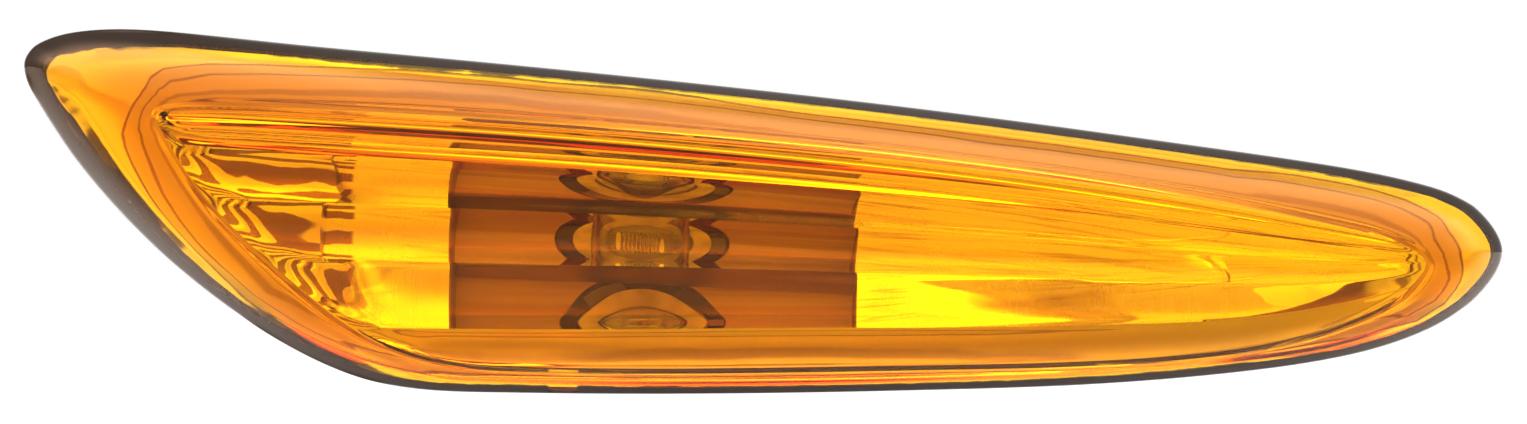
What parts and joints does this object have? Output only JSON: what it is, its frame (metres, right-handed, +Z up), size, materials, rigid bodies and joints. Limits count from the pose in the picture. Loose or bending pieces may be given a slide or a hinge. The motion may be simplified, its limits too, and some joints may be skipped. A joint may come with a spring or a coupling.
{
  "type": "side repeater lamp",
  "caption": "Long pointed side repeater lamp for a car wing: domed amber lens with inner flutes on a black housing, metallised reflector, wedge bulb in a quarter-turn holder.",
  "frame": {"origin": "on the outer face of the body panel that the foam seal rests on, at the axis of the bulb", "axes": "+X along the lamp from the round nose to the pointed tail, +Z up, +Y back through the panel, so the lens faces -Y"},
  "size_m": [0.15, 0.0483, 0.0371],
  "materials": {
    "amber_lens": "clear amber moulded plastic, polished",
    "metallised": "vacuum-metallised plastic",
    "black_plastic": "black moulded plastic",
    "foam_rubber": "closed-cell foam",
    "spring_steel": "plain spring steel",
    "holder_plastic": "dark grey glass-filled plastic",
    "silicone": "satin silicone rubber",
    "brass": "tinned brass strip",
    "clear_glass": "clear glass",
    "lead_wire": "plain wire",
    "tungsten": "dark coiled wire"
  },
  "bodies": {
    "lamp": {"lens": "amber_lens", "reflector": "metallised", "housing": "black_plastic", "seal": "foam_rubber", "clip": "spring_steel"},
    "bulb_holder": {"holder": "holder_plastic", "ring": "silicone", "terminal_upper": "brass", "terminal_lower": "brass", "glass": "clear_glass", "lead_nose": "lead_wire", "lead_tail": "lead_wire", "filament": "tungsten"}
  },
  "joints": [
    {"name": "holder_turn", "type": "hinge", "parent": "lamp", "child": "bulb_holder", "pos_m": [0, 0.0166, 0], "axis": [0, 1, 0], "range_deg": [0, 45]}
  ]
}
